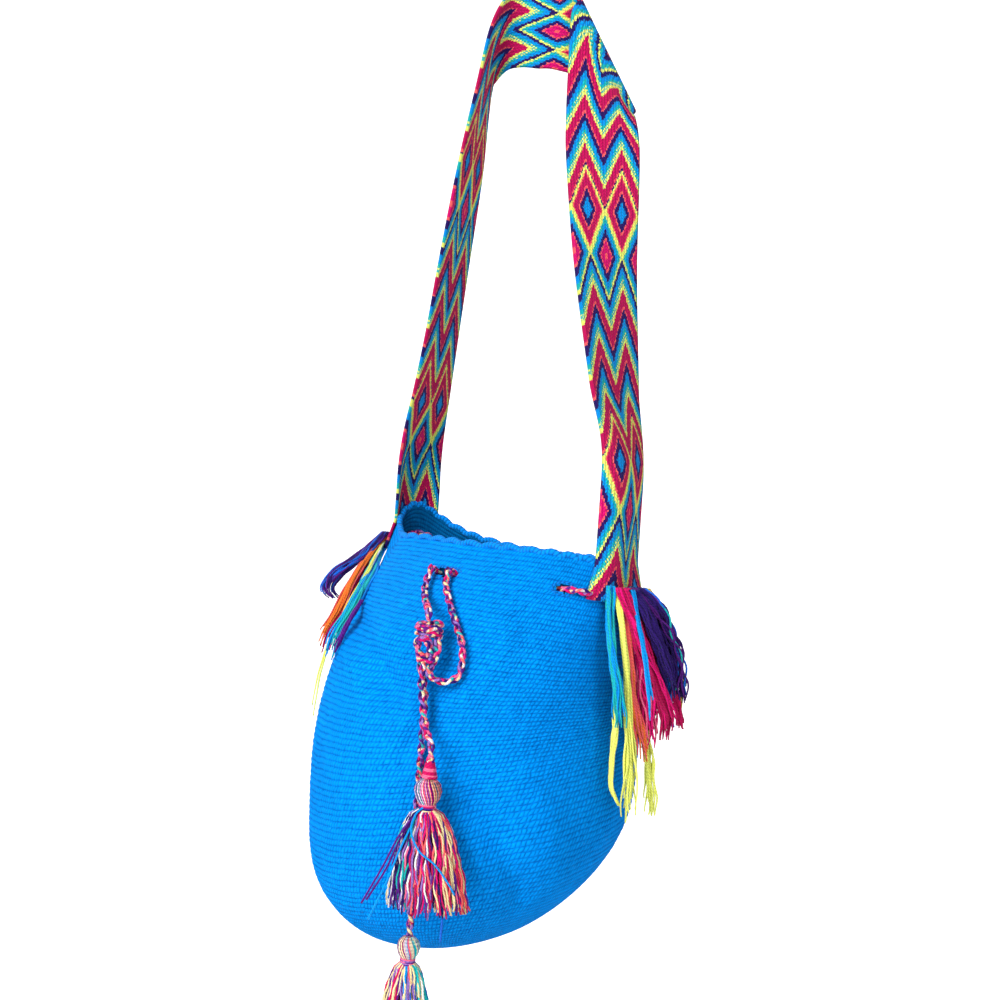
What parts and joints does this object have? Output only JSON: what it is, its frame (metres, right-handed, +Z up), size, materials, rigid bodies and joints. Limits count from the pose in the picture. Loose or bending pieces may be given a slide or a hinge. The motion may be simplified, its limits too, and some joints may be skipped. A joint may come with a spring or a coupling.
{
  "type": "bucket bag",
  "caption": "Crocheted bucket bag on a wide patterned shoulder strap, with a drawstring round its rim, tassels on the drawstring's ends and loose yarn fringes.",
  "frame": {"origin": "middle of the strap's lower edge at the top of the loop, where it rests in a hook", "axes": "+Z up, -Y towards the front of the bag, where the drawstring's ends come out"},
  "size_m": [0.2822, 0.2656, 0.7663],
  "materials": {
    "bag_body": "matte",
    "shoulder_strap": "matte",
    "drawstring_rim": "matte",
    "drawstring_left_strand": "matte",
    "drawstring_right_strand": "matte",
    "drawstring_knot": "matte",
    "drawstring_upper_end": "matte",
    "drawstring_lower_end": "matte",
    "upper_tassel_cap": "matte",
    "upper_tassel_yarns": "matte",
    "upper_tassel_binding": "matte",
    "lower_tassel_yarns": "matte",
    "lower_tassel_binding": "matte",
    "right_fringe_turquoise": "matte",
    "right_fringe_yellow": "matte",
    "right_fringe_magenta": "matte",
    "right_fringe_orange": "matte",
    "right_fringe_crimson": "matte",
    "right_fringe_navy": "matte",
    "left_fringe_navy": "matte",
    "left_fringe_orange": "matte",
    "left_fringe_crimson": "matte",
    "left_fringe_yellow": "matte",
    "left_fringe_turquoise": "matte"
  },
  "bodies": {
    "bag": {"bag_body": "bag_body", "shoulder_strap": "shoulder_strap", "drawstring_rim": "drawstring_rim", "right_fringe_turquoise": "right_fringe_turquoise", "right_fringe_yellow": "right_fringe_yellow", "right_fringe_magenta": "right_fringe_magenta", "right_fringe_orange": "right_fringe_orange", "right_fringe_crimson": "right_fringe_crimson", "right_fringe_navy": "right_fringe_navy", "left_fringe_navy": "left_fringe_navy", "left_fringe_orange": "left_fringe_orange", "left_fringe_crimson": "left_fringe_crimson", "left_fringe_yellow": "left_fringe_yellow", "left_fringe_turquoise": "left_fringe_turquoise"},
    "drawstring_ends": {"drawstring_left_strand": "drawstring_left_strand", "drawstring_right_strand": "drawstring_right_strand", "drawstring_knot": "drawstring_knot", "drawstring_upper_end": "drawstring_upper_end", "drawstring_lower_end": "drawstring_lower_end", "upper_tassel_cap": "upper_tassel_cap", "upper_tassel_yarns": "upper_tassel_yarns", "upper_tassel_binding": "upper_tassel_binding", "lower_tassel_yarns": "lower_tassel_yarns", "lower_tassel_binding": "lower_tassel_binding"}
  },
  "joints": [
    {"name": "drawstring_swing", "type": "hinge", "parent": "bag", "child": "drawstring_ends", "pos_m": [-0.04399, -0.06623, -0.36997], "axis": [-0.6964, 0.7155, 0.0555], "range_deg": [0, 50]}
  ]
}
